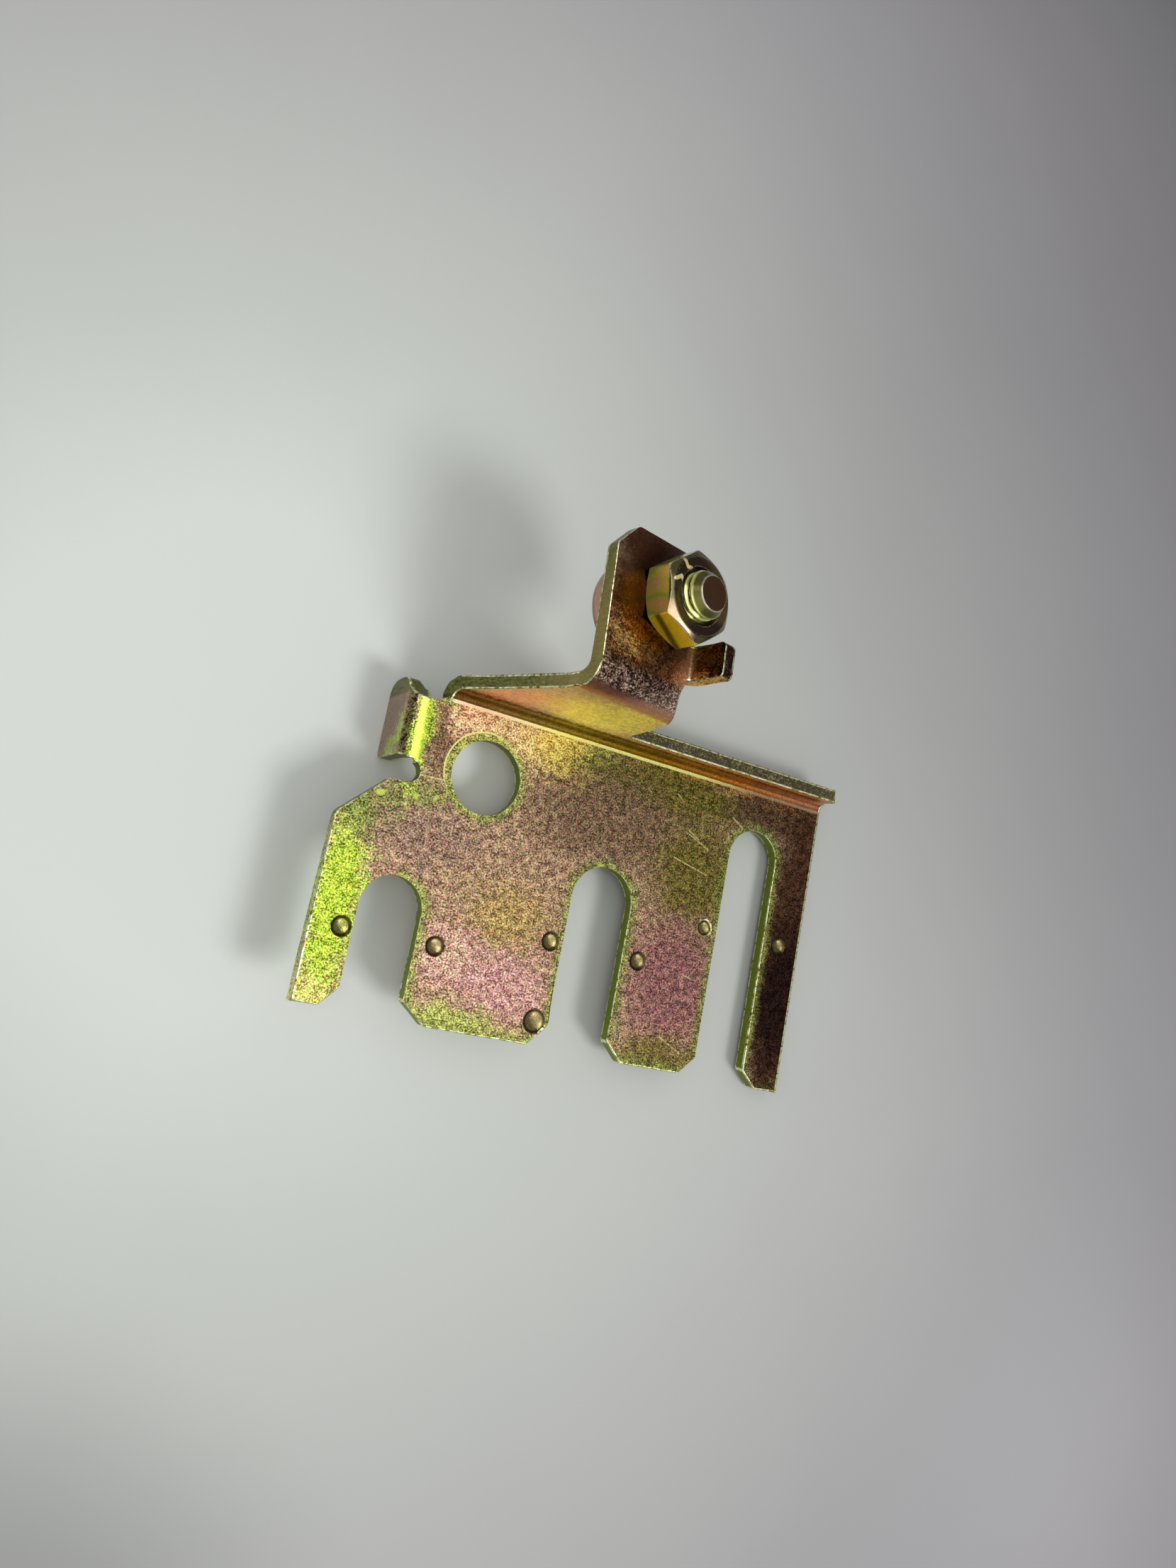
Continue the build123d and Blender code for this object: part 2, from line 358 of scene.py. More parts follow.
# distance in millimetres from a straight mark between two points
mark_line, given, out = group(
    "mark_line", {"Position": "Vector", "From": "Vector", "To": "Vector"}, {"Distance": "Float"})
run = vector(mark_line, "SUBTRACT", given["To"], given["From"])
offset = vector(mark_line, "SUBTRACT", given["Position"], given["From"])
share = calc(mark_line, "DIVIDE", vector(mark_line, "DOT_PRODUCT", offset, run),
             vector(mark_line, "DOT_PRODUCT", run, run), clamp=True)
foot = scaled(mark_line, run, share)
mark_line.links.new(vector(mark_line, "DISTANCE", offset, foot), out["Distance"])

# the lug's own directions: along the fold, out from it, and away from its face
LUG_TILT, LUG_LEAN = radians(14), radians(3.5)
FOLD_RADIUS = 3.25          # to the sheet's outer face
along = np.array((np.cos(LUG_TILT), 0, -np.sin(LUG_TILT)))
rise = np.array((np.sin(LUG_TILT), 0, np.cos(LUG_TILT)))
reach_out = np.array((0, np.cos(LUG_LEAN), 0)) - rise * np.sin(LUG_LEAN)
axis_out = rise * np.cos(LUG_LEAN) + np.array((0, np.sin(LUG_LEAN), 0))
fold_centre = np.array((0, 12.85, 21.8)) - rise * FOLD_RADIUS
lug_foot = fold_centre + axis_out * FOLD_RADIUS
BOLT_PLACE = (11.9, 10.1)          # across the lug and out from its fold


def on_lug(across, out, up=0.0):
    """A place by the lug, in millimetres across it, out from its fold and above its face."""
    return tuple(lug_foot + along * across + reach_out * out + axis_out * up)


# punched marks: across and up the plate, and radius, in millimetres
DIMPLES = ((-14.0, -21.4, 1.3), (-2.1, -21.5, 1.3), (13.1, -18.0, 1.3), (26.3, -18.1, 1.3),
           (35.8, -11.8, 1.2), (48.6, -11.9, 1.3), (13.0, -28.1, 1.65))

# the clear film shows another colour at each thickness
FILMS = {
    "lime": tint(188, 220, 74), "lemon": tint(222, 218, 118), "sage": tint(134, 144, 74),
    "peach": tint(240, 202, 160), "gold": tint(255, 224, 122), "straw": tint(188, 158, 100),
    "tan": tint(182, 150, 120), "drab": tint(128, 103, 80), "rose tan": tint(162, 132, 114),
    "rose": tint(214, 160, 152), "wine": tint(156, 108, 106), "moss": tint(178, 186, 98),
    "olive": tint(114, 106, 42), "bronze": tint(118, 70, 30), "umber": tint(84, 58, 42),
    "maroon": tint(44, 28, 25), "amber": tint(86, 46, 8), "apricot": tint(248, 196, 130),
    "copper": tint(222, 140, 76), "brass": tint(255, 232, 92), "plum": tint(98, 60, 42),
    "ginger": tint(186, 120, 42), "soot": tint(50, 42, 16), "fawn": tint(255, 206, 136),
}
ZONES = (       # centre, reach, film, amount
    # the plate
    ((-15.6, -19, 0), (3.6, 11.5, 9), "lime", 1.0),
    ((-16.5, -30, 0), (3.2, 2.6, 9), "lemon", 0.9),
    ((-13.6, -6.4, 0), (5.4, 4.2, 9), "sage", 0.9),
    ((-6, -9, 0), (7.6, 4, 9), "rose tan", 0.9),
    ((-7, 3.0, 0), (2.6, 4.6, 9), "drab", 0.8),
    ((-7, -3.6, 0), (3.4, 1.8, 9), "sage", 0.7),
    ((-0.6, 6.6, 0), (7.4, 2.8, 9), "peach", 1.0),
    ((4.6, 4.6, 0), (4, 3.0, 9), "peach", 0.7),
    ((10.2, 6.0, 0), (6.2, 4.0, 9), "gold", 0.95),
    ((-7.6, 5.6, 0), (1.6, 3.0, 9), "drab", 0.7),
    ((-7.0, 7.9, 0), (1.2, 1.0, 9), "moss", 0.9),
    ((15.5, 6.0, 0), (3.6, 2.4, 9), "moss", 0.6),
    ((26, 5.2, 0), (16, 4.2, 9), "olive", 0.95),
    ((18, -1, 0), (13, 7, 9), "drab", 0.85),
    ((6.4, -16, 0), (5.6, 4.0, 9), "straw", 0.9),
    ((-0.5, -22.5, 0), (4.4, 4, 9), "rose", 0.9),
    ((8, -24.5, 0), (6.8, 4.4, 9), "rose", 0.95),
    ((1, -30.2, 0), (7, 2.6, 9), "moss", 0.9),
    ((12, -31, 0), (6, 1.6, 9), "moss", 0.7),
    ((33, -5.2, 0), (7.6, 8.6, 9), "olive", 0.88),
    ((32, -20, 0), (8, 9, 9), "wine", 0.95),
    ((33, -30.6, 0), (9, 3.4, 9), "olive", 0.8),
    ((45, 6, 0), (9, 3.4, 9), "umber", 0.85),
    ((50, -14, 0), (5.4, 34, 9), "umber", 1.0),
    ((50, -19, 0), (4.6, 11.5, 9), "maroon", 1.0),
    ((-0.5, -22, 0), (3.2, 2.8, 9), "peach", 0.4),
    # the prop tab
    ((-13, 4, -6), (2.6, 12, 8), "rose tan", 1.0),
    ((-11.4, 0.5, -5), (1.0, 2.6, 3.4), "lime", 0.8),
    ((-11.2, 3.6, -2.6), (1.0, 2.4, 1.6), "lime", 0.8),
    ((-9.6, 4, -0.4), (1.2, 9, 1.5), "lime", 1.0),
    # the arm and the lip
    ((-2, 9.6, 6), (6, 2, 7), "copper", 0.95),
    ((10.5, 9.6, 10), (7.4, 2, 9), "brass", 1.0),
    ((12, 9.6, 3.4), (5, 2, 2.6), "gold", 0.7),
    ((36, 9.6, 2), (22, 2, 4), "ginger", 0.95),
    # the lug, with two patches for the pale streak at its foot
    (on_lug(8, 5), (9, 9, 6), "bronze", 1.0),
    (on_lug(7, 15.5), (9, 6.4, 3), "plum", 1.0),
    (on_lug(5.2, 8.2), (3.4, 2.6, 2), "amber", 0.95),
    (on_lug(3.4, 4.2), (1.8, 1.8, 1.6), "apricot", 0.7),
    (on_lug(5.4, 2.5), (1.8, 1.6, 1.6), "apricot", 0.7),
    (on_lug(10.5, 2.6), (3.2, 2.4, 1.6), "drab", 0.6),
    # the side tab
    (on_lug(17, 3.8, 2.6), (2.4, 4, 4), "bronze", 1.0),
    (on_lug(17, 3.8, 5.4), (2.6, 4, 1.3), "maroon", 1.0),
    (on_lug(17, 1.2, 2.4), (2.4, 1.1, 3.4), "fawn", 1.0),
)
WALL_ZONES = (       # the sheared thickness: lip, slope of the arm, lug
    ((34, 10.5, 3.0), (26, 3, 2.2), "soot", 1.0),
    ((-1, 12, 20), (9, 8, 8), "straw", 0.35),
    ((-1, 20, 23), (6, 9, 4), "straw", 0.45),
)


def coat(tree, colour, zones, position):
    """Lays each zone's film over the colour, one after another."""
    for centre, reach, film, amount in zones:
        colour = use(tree, film_patch, Colour=colour, Position=position, Centre=centre,
                     Reach=reach, Film=FILMS[film], Amount=amount)["Colour"]
    return colour


plated_sheet, tree, shader = material("plated_sheet")
spot = in_millimetres(tree)
x, y, z = node(tree, "SeparateXYZ", {0: spot}).outputs

# the zones wander by a few millimetres, and their borders are scattered as fine grain
HALF = (0.5, 0.5, 0.5)
wander = vector(tree, "SUBTRACT", noise(tree, spot, 0.45, 6, 0.72, coloured=True), HALF)
drift = vector(tree, "MULTIPLY", wander, (8, 8, 8))
scatter = vector(tree, "SUBTRACT", noise(tree, spot, 3.2, 2, 0.7, coloured=True), HALF)
ragged = noise(tree, spot, 0.8, 5, 0.7)
loose = vector(tree, "ADD", vector(tree, "ADD", spot, drift),
               vector(tree, "MULTIPLY", scatter, (4, 4, 4)))
film = coat(tree, FILMS["tan"], ZONES, loose)

# the film runs thin and green along the punched edges, but not on the dark right finger
edge_gap = use(tree, plate_edge, Position=spot)["Distance"]
edge_gap = calc(tree, "MULTIPLY_ADD", ragged, -3.4, calc(tree, "ADD", edge_gap, 1.7))
on_plate = product(tree, fade_out(tree, y, 7.4, 8.0), fade(tree, x, -9.2, -8.4),
                   fade(tree, x, 46, 48, 1.0, 0.1))
thin = product(tree, fade_out(tree, edge_gap, 0.0, 1.7, 0.8), on_plate)
thinnest = product(tree, fade_out(tree, edge_gap, -0.2, 0.7, 0.7), on_plate,
                   fade(tree, x, 14, 26, 1.0, 0.3))
film = blend(tree, thin, film, FILMS["sage"])
film = blend(tree, thinnest, film, FILMS["moss"])

# a washer has left a greener disc round the hole, and its rim has a painted highlight on the upper
# left
WASHER_MIDDLE, WASHER_RADIUS = (-0.5, 0.3, 0), 5.27
from_ring = vector(tree, "DISTANCE", vector(tree, "MULTIPLY", spot, (1, 1, 0)), WASHER_MIDDLE)
inside_ring = product(tree, fade_out(tree, from_ring, 5.15, 5.3), on_plate)
film = blend(tree, product(tree, inside_ring, 0.65), film, FILMS["moss"])
upper_left = fade(tree, dot(tree, spot, (-0.75, 0.66, 0)), 1.0, 4.0)
ring_line = product(tree, band(tree, from_ring, WASHER_RADIUS, 0.05, 0.16), upper_left, on_plate)

# the first fold: a painted highlight along the line where the arm's bend starts, then a fillet
# darkened by painted shade
BEND_STARTS = 8.20
bend_line = product(tree, band(tree, y, BEND_STARTS, 0.12, 0.28), fade(tree, x, -7.0, -6.0),
                    fade_out(tree, z, 0.5, 0.8))
along_fold = calc(tree, "MULTIPLY_ADD", x, 1 / 60, 0.15)          # nought to one, left to right
bend_tint = ramp(tree, along_fold, (0.02, tint(255, 236, 206)), (0.22, tint(255, 248, 200)),
                 (0.30, tint(255, 255, 150)), (0.66, tint(248, 248, 150)),
                 (0.82, tint(176, 150, 116)))
fillet_tint = ramp(tree, along_fold, (0.05, tint(138, 92, 34)), (0.30, tint(160, 132, 20)),
                   (0.55, tint(158, 118, 20)), (0.78, tint(214, 136, 50)),
                   (0.98, tint(236, 160, 120)))
fillet = product(tree, fade(tree, y, 8.36, 8.5), fade(tree, x, -7.5, -6.5),
                 fade_out(tree, y, 10.2, 10.4))
# painted shade darkens the fillet towards its foot
film = blend(tree, product(tree, fillet, fade_out(tree, z, 0.4, 2.0, 0.9)), film, fillet_tint)
in_corner = product(tree, fillet, fade_out(tree, z, 0.1, 0.8, 0.9))
# and painted shade darkens its corner still more
film = blend(tree, in_corner, film, (0.22, 0.20, 0.16, 1), "MULTIPLY")
fillet = product(tree, fillet, fade_out(tree, z, 1.4, 2.6))

# the arm's face is streaked with fine pits that lean with the rolling direction
ROLLING_LEAN = radians(52)
leaning = stretched(tree, spot, (2.2, 2.0, 7.5), (0, ROLLING_LEAN, 0))
on_arm = product(tree, fade(tree, y, 9.0, 9.5), fade(tree, z, 1.5, 2.6),
                 fade_out(tree, z, 17.5, 19.0))
pits = product(tree, fade(tree, noise(tree, leaning, 0.9, 3, 0.7), 0.54, 0.62), on_arm, 0.8)
film = blend(tree, pits, film, tint(104, 76, 16))


def off_line(tree, offset, way):
    """Distance of offset from a line through nought that runs along way."""
    foot = scaled(tree, tuple(way), dot(tree, offset, way))
    return vector(tree, "LENGTH", vector(tree, "SUBTRACT", offset, foot))


# at the second fold the outer face is first smooth, then pulled rough and dark
from_fold = vector(tree, "SUBTRACT", spot, tuple(fold_centre))
lug_across, lug_out = dot(tree, from_fold, along), dot(tree, from_fold, reach_out)
fold_turn = calc(tree, "ARCTAN2", dot(tree, from_fold, rise), dot(tree, from_fold, (0, -1, 0)))
fold_turn = calc(tree, "MULTIPLY_ADD", ragged, 0.36, calc(tree, "SUBTRACT", fold_turn, 0.18))
near_fold = fade_out(tree, off_line(tree, from_fold, along), 4.2, 5.2)
smooth_band = product(tree, fade(tree, fold_turn, -0.05, 0.15),
                      fade_out(tree, fold_turn, 0.7, 1.0), near_fold)
smooth_tint = ramp(tree, fold_turn, (0.1, tint(172, 122, 56)), (0.45, tint(136, 88, 70)))
film = blend(tree, product(tree, smooth_band, 0.9), film, smooth_tint)
rough_band = product(tree, fade(tree, fold_turn, 0.62, 0.86),
                     fade_out(tree, fold_turn, 1.58, 1.90), near_fold)
film = blend(tree, product(tree, rough_band, 0.9), film, tint(128, 98, 82))

# the prop tab's bend is pulled rough in the same way, and beside that it is painted a bright lime:
# its film's colour with a painted reflection on it
prop_band = product(tree, band(tree, z, -1.15, 0.35, 0.75), fade(tree, x, -11.9, -11.3),
                    fade_out(tree, x, -10.3, -9.9))
film = blend(tree, product(tree, prop_band, 0.8), film, tint(110, 96, 60))
rough = highest(tree, rough_band, prop_band)

# painted shade darkens the film round the nut's foot on the lug, but not on the side tab
from_bolt = vector(tree, "SUBTRACT", spot, on_lug(*BOLT_PLACE))
by_nut = product(tree, fade_out(tree, off_line(tree, from_bolt, axis_out), 5.8, 8.8, 0.85),
                 fade(tree, z, 12.0, 14.0), fade_out(tree, lug_across, 14.8, 15.6))
film = blend(tree, by_nut, film, tint(46, 20, 4))

# some parts are calm, with little grain: arm, prop face, lug top, the fold's smooth band and the
# prop bend's painted sheen
prop_face = product(tree, fade_out(tree, x, -11.4, -11.2), fade_out(tree, z, -2.0, -1.4),
                    fade(tree, y, -2.5, -1.5))
lug_top = product(tree, fade(tree, z, 17.0, 19.0), fade(tree, lug_out, 5.0, 9.0))
still_smooth = product(tree, smooth_band, calc(tree, "SUBTRACT", 1.0, rough_band))
# the prop bend's bright lime, film colour with a painted reflection
burnished = product(tree, fade(tree, x, -10.5, -10.1), fade_out(tree, x, -9.3, -8.6, 0.8),
                    fade(tree, y, -2.0, -1.2))
film = blend(tree, burnished, film, tint(206, 238, 84))
calm = highest(tree, on_arm, fillet, prop_face, lug_top, still_smooth, burnished)

# each punched mark is a smooth dish with a dark rim and one long painted glint
RIM_SHARE = 0.84          # the rim's radius as a share of the mark's
dishes, glints = [], []
for across, up, size in DIMPLES:
    glint = ((across - 0.28) * 1.2, (up + 0.05) * 0.8, 0)
    glints.append(vector(tree, "DISTANCE", vector(tree, "MULTIPLY", spot, (1.2, 0.8, 1)), glint))
    from_mark = vector(tree, "DISTANCE", spot, (across, up, 0))
    dishes.append(calc(tree, "SUBTRACT", from_mark, size * RIM_SHARE))
from_rim = lowest(tree, *dishes)
mark_rim = band(tree, from_rim, 0.0, 0.08, 0.26)
marks = fade_out(tree, from_rim, 0.0, 0.15)
calm = highest(tree, calm, marks)
glint = product(tree, fade_out(tree, lowest(tree, *glints), 0.20, 0.50, 0.9), marks)
film = blend(tree, product(tree, marks, 0.8), film, tint(140, 130, 82))
film = blend(tree, product(tree, mark_rim, 0.85), film, tint(44, 40, 18))
film = blend(tree, glint, film, tint(255, 252, 230))

# grain: a play of colour, dark specks, hairlines, bright flakes that are a painted sparkle of
# light, and torn metal at the bends
grain = use(tree, sheet_grain, Position=spot, Size=0.23)
pepper = fade(tree, calm, 0, 1, 1.0, 0.25)
torn = fade(tree, grain["Speck"], 0.1, 0.6)
play = vector(tree, "ADD", vector(tree, "MULTIPLY", scatter, (1.9, 1.9, 1.9)), (1, 1, 1))
for mask, gain in ((product(tree, pepper, 0.8), play),
                   (product(tree, grain["Speck"], pepper, 0.95), (0.22, 0.18, 0.15, 1)),
                   (product(tree, grain["Hair"], pepper, 0.8), (0.16, 0.13, 0.12, 1)),
                   (product(tree, grain["Flake"], pepper, 0.9), (2.3, 2.3, 2.1, 1)),
                   (product(tree, torn, rough, 0.7), (0.12, 0.10, 0.10, 1))):
    film = blend(tree, mask, film, gain, "MULTIPLY")
# painted glints on the torn metal
torn_glint = product(tree, fade(tree, grain["Flake"], 0.3, 0.7), rough_band, 0.6)
film = blend(tree, torn_glint, film, (0.80, 0.72, 0.66, 1))

# small bright scuffs and scratches through the film
SCRATCHES = (       # from and to, across and up the plate
    ((-8.6, -1.84, 0), (-5.4, -1.7, 0)), ((30.2, 0.3, 0), (34.2, -1.3, 0)),
    ((30.6, 0.6, 0), (32.4, -0.3, 0)), ((29.0, -3.5, 0), (34.8, -4.8, 0)),
    ((37.4, 4.0, 0), (39.2, 3.0, 0)), ((31.6, -27.2, 0), (35.2, -28.9, 0)),
    ((7.0, -9.4, 0), (7.8, -8.4, 0)), ((27.9, 5.0, 0), (28.5, 4.6, 0)),
    ((33.6, -18.6, 0), (34.9, -18.9, 0)),
)
SPLASHES = (((-12.85, -5.0, 0), 0.55), ((-8.5, -4.4, 0), 0.5), ((-5.9, -3.9, 0), 0.45))
# painted highlights on the washer's rim and where the arm's bend starts
film = blend(tree, ring_line, film, tint(238, 236, 150))
film = blend(tree, bend_line, film, bend_tint)
scratch = lowest(tree, *[
    use(tree, mark_line, Position=spot, From=start, To=end)["Distance"]
    for start, end in SCRATCHES])
scratch = product(tree, fade_out(tree, scratch, 0.04, 0.13),
                  fade(tree, ragged, 0.40, 0.52, 0.35, 1.0), 0.8)
film = blend(tree, scratch, film, tint(238, 222, 150))
uneven = vector(tree, "ADD", spot, vector(tree, "MULTIPLY", drift, (0.25, 0.25, 0)))
for centre, size in SPLASHES:
    splash = fade_out(tree, vector(tree, "DISTANCE", uneven, centre), size * 0.6, size, 0.8)
    film = blend(tree, splash, film, tint(206, 224, 96))

# which faces are sheared thickness, told by where they look
facing = node(tree, "TexCoord").outputs["Normal"]
looks_x, looks_y, looks_z = [calc(tree, "ABSOLUTE", part) for part in
                             node(tree, "SeparateXYZ", {0: facing}).outputs]
looks_along = calc(tree, "ABSOLUTE", dot(tree, facing, along))
left_of_tab = fade_out(tree, lug_across, 15.2, 15.6)
plate_wall = product(tree, fade_out(tree, looks_z, 0.35, 0.65), fade_out(tree, z, 0.1, 0.3),
                     fade_out(tree, y, 8.2, 8.6), fade(tree, x, -9.4, -9.0))
bend_wall = product(tree, fade(tree, looks_x, 0.45, 0.7), fade(tree, y, 7.9, 8.4),
                    fade_out(tree, z, 14, 16))
prop_wall = product(tree, fade(tree, looks_y, 0.5, 0.75), fade_out(tree, x, -9.2, -8.8))
arm_wall = product(tree, fade_out(tree, looks_y, 0.35, 0.7), fade(tree, y, 8.9, 9.2),
                   fade(tree, z, 1.0, 1.5), fade_out(tree, z, 14.0, 16.0))
side_wall = product(tree, fade(tree, looks_along, 0.45, 0.7), fade(tree, z, 13.0, 15.0),
                    left_of_tab)
end_wall = product(tree, fade(tree, dot(tree, facing, reach_out), 0.45, 0.7),
                   fade(tree, lug_out, 3.0, 5.0), fade(tree, z, 13.0, 15.0))
wall = highest(tree, plate_wall, bend_wall, prop_wall, arm_wall, side_wall, end_wall)

# the walls are olive, with streaks across the sheet's thickness, and green in the slots
streaks = noise(tree, stretched(tree, spot, (3.2, 3.2, 0.5)), 1.2, 4, 0.7)
streak_gain = ramp(tree, streaks, (0.32, (0.35, 0.35, 0.33, 1)), (0.50, (0.95, 0.95, 0.95, 1)),
                   (0.64, (1.6, 1.6, 1.5, 1)))
sheared = coat(tree, tint(108, 110, 56), WALL_ZONES, spot)
streaked = calc(tree, "MULTIPLY_ADD", side_wall, -0.65, 1.0)          # less so beside the lug
sheared = blend(tree, streaked, sheared, streak_gain, "MULTIPLY")
sheared = blend(tree, product(tree, plate_wall, 0.85), sheared, tint(116, 136, 20))
# painted glints on the walls
sheared = blend(tree, product(tree, grain["Flake"], 0.3), sheared, tint(190, 184, 110))
film = blend(tree, wall, film, sheared)
tree.links.new(film, shader.inputs["Base Color"])

gloss = fade(tree, grain["Mottle"], 0, 1, 0.27, 0.38)
smoother = calc(tree, "MULTIPLY_ADD", calm, 0.07, product(tree, marks, 0.13))
gloss = calc(tree, "SUBTRACT", gloss, smoother)
tree.links.new(calc(tree, "MULTIPLY_ADD", wall, 0.10, gloss), shader.inputs["Roughness"])

# relief of the grain, deeper on torn metal, and of the streaks on a wall
GRAIN_DEPTH = 0.00004          # metres
deeper = calc(tree, "MULTIPLY_ADD", highest(tree, rough, product(tree, wall, 0.6)), 2.0, 1.0)
lie = calc(tree, "MULTIPLY_ADD", wall, calc(tree, "SUBTRACT", streaks, grain["Height"]),
           grain["Height"])
bumps = node(tree, "Bump", {"Height": product(tree, deeper, lie), "Distance": GRAIN_DEPTH,
                            "Strength": 0.8}).outputs[0]
tree.links.new(bumps, shader.inputs["Normal"])

# a chalky bloom dulls the mirror of the arm, more of it to the right
chalk = product(tree, on_arm, fade(tree, x, 1, 12, 0.28, 0.78))
# the marks' painted glints are taken out of the metal as well
chalk = highest(tree, chalk, glint)
tree.links.new(calc(tree, "SUBTRACT", 1.0, chalk), shader.inputs["Metallic"])
bracket.data.materials.clear()
bracket.data.materials.append(plated_sheet)

# the rolled edges are rubbed to bright dashes: wear, painted pale as a highlight too
worn_edge, tree, shader = material("worn_edge")
dashes = noise(tree, in_millimetres(tree), 1.6, 4, 0.7)
tree.links.new(ramp(tree, dashes, (0.36, tint(96, 92, 50)), (0.46, tint(190, 188, 110)),
                    (0.56, tint(250, 250, 214))), shader.inputs["Base Color"])
tree.links.new(fade(tree, dashes, 0.4, 0.6, 0.4, 0.25), shader.inputs["Roughness"])
shader.inputs["Metallic"].default_value = 1.0
bracket.data.materials.append(worn_edge)


# ---------------------------------------------------------------- screw
# An M6 steel screw with a rolled thread, put through the lug from behind.
# It is plated like the bracket but brighter, being turned and smooth.
BOLT_FOOT = np.array(on_lug(*BOLT_PLACE))          # on the lug's outer face
TURNS = 180                                        # points in each ring of a turned piece
angle = np.linspace(0, 2 * np.pi, TURNS, endpoint=False)


def turned(name, radius, height):
    """A closed form round the screw's axis: a ring for each row, with the radius and
    the height above the lug's face given at every angle. The first and last rows
    close on a pole where their radius is nought."""
    rows = radius.shape[0]
    spokes = np.cos(angle)[:, None] * along + np.sin(angle)[:, None] * reach_out
    points = BOLT_FOOT + spokes[None] * radius[:, :, None] + height[:, :, None] * axis_out
    row, col = np.meshgrid(np.arange(rows - 1), np.arange(TURNS), indexing="ij")
    after = (col + 1) % TURNS
    quads = np.stack((row * TURNS + col, row * TURNS + after,
                      (row + 1) * TURNS + after, (row + 1) * TURNS + col), -1)
    made = bpy.data.meshes.new(name)
    made.from_pydata((points.reshape(-1, 3) / 1000).tolist(), [], quads.reshape(-1, 4).tolist())
    shell = bmesh.new()
    shell.from_mesh(made)
    bmesh.ops.remove_doubles(shell, verts=shell.verts, dist=1e-7)
    bmesh.ops.holes_fill(shell, edges=shell.edges, sides=0)
    bmesh.ops.recalc_face_normals(shell, faces=shell.faces)
    shell.to_mesh(made)
    shell.free()
    made.polygons.foreach_set("use_smooth", np.ones(len(made.polygons), bool))
    piece = bpy.data.objects.new(name, made)
    bpy.context.scene.collection.objects.link(piece)
    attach(piece, "root")
    return piece


def spun(corners, step):
    """Radius and height at every angle, in rows about step millimetres apart along
    straight runs between the profile's corners."""
    corners = np.array(corners, float)
    runs = [np.linspace(a, b, max(2, int(np.hypot(*(b - a)) / step) + 1))[:-1]
            for a, b in zip(corners, corners[1:])]
    profile = np.concatenate(runs + [corners[-1:]])
    return np.repeat(profile[:, :1], TURNS, 1), np.repeat(profile[:, 1:], TURNS, 1)


SCREW_PROFILE = (          # radius and height, from the free end to the back of the head
    (0, 6.05), (1.85, 6.12), (2.1, 6.14), (2.95, 5.1), (2.95, -1.75), (6.1, -1.8),
    (6.2, -1.95), (6.2, -7.4), (5.9, -8.1), (5.2, -8.4), (0, -8.4))
PITCH, CREST, ROOT = 1.0, 2.97, 2.42
STEEP, FLAT_CREST = 1.25, 0.12               # how steep the flanks are and how flat the crests
THREAD_FROM, THREAD_TO, THREAD_FADE = 0.2, 5.5, 0.6          # heights

# the thread's depth is a triangle wave in height that climbs one pitch a turn,
# cut off flat at its crests, and fading out towards the end
r, h = spun(SCREW_PROFILE, 0.07)
wave = (h / PITCH - angle / (2 * np.pi)) % 1
groove = np.clip(np.abs(wave - 0.5) * 2 * STEEP - FLAT_CREST, 0, 1)
groove = groove * np.clip((THREAD_TO - h) / THREAD_FADE, 0, 1)
threaded = (h > THREAD_FROM) & (r > 2.0)
r = np.where(threaded, np.minimum(r, CREST - (CREST - ROOT) * groove), r)
screw = turned("screw", r, h)
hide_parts("bolt")

# height above the lug's face, distance from the screw's axis and bearing round it
screw_axes, given, out = group(
    "screw_axes", {"Position": "Vector"},
    {"Height": "Float", "Radius": "Float", "Bearing": "Float"})
away = vector(screw_axes, "SUBTRACT", given["Position"], tuple(BOLT_FOOT))
over, beyond = dot(screw_axes, away, along), dot(screw_axes, away, reach_out)
squares = calc(screw_axes, "MULTIPLY_ADD", over, over, product(screw_axes, beyond, beyond))
screw_axes.links.new(dot(screw_axes, away, axis_out), out["Height"])
screw_axes.links.new(calc(screw_axes, "SQRT", squares), out["Radius"])
screw_axes.links.new(calc(screw_axes, "ARCTAN2", beyond, over), out["Bearing"])

# bright line where an edge is rolled over and rubbed, painted brighter as a highlight too
rubbed_edge, given, out = group(
    "rubbed_edge", {"Width": "Float", "Position": "Vector"}, {"Rubbed": "Float"})
rounded = node(rubbed_edge, "Bevel", {"Radius": given["Width"]}, samples=6).outputs[0]
true = node(rubbed_edge, "NewGeometry").outputs["True Normal"]
turn = calc(rubbed_edge, "SUBTRACT", 1.0, vector(rubbed_edge, "DOT_PRODUCT", rounded, true))
broken = fade(rubbed_edge, noise(rubbed_edge, given["Position"], 2.4, 3), 0.34, 0.52, 0.15, 1.0)
rubbed_edge.links.new(fade(rubbed_edge, product(rubbed_edge, turn, broken), 0.02, 0.13),
                      out["Rubbed"])


def bright_plating(name, colour_over, metal):
    """Glossy zinc on a machined part. colour_over gives its colour from the tree, the
    position and the screw's height, radius and bearing; metal is how far it mirrors."""
    made, tree, shader = material(name)
    spot = in_millimetres(tree)
    film = colour_over(tree, spot, use(tree, screw_axes, Position=spot))
    grain = use(tree, sheet_grain, Position=spot, Size=0.35)
    speck = product(tree, grain["Speck"], 0.18)
    film = blend(tree, speck, film, (0.45, 0.42, 0.38, 1), "MULTIPLY")
    # a bright line on the edges: wear and painted highlight
    rub = use(tree, rubbed_edge, Width=0.00022, Position=spot)["Rubbed"]
    film = blend(tree, rub, film, tint(236, 236, 214))
    tree.links.new(film, shader.inputs["Base Color"])
    tree.links.new(fade(tree, grain["Mottle"], 0, 1, 0.13, 0.22), shader.inputs["Roughness"])
    bumps = node(tree, "Bump", {"Height": grain["Height"], "Distance": 0.00001,
                                "Strength": 0.5}).outputs[0]
    tree.links.new(bumps, shader.inputs["Normal"])
    shader.inputs["Metallic"].default_value = metal
    return made


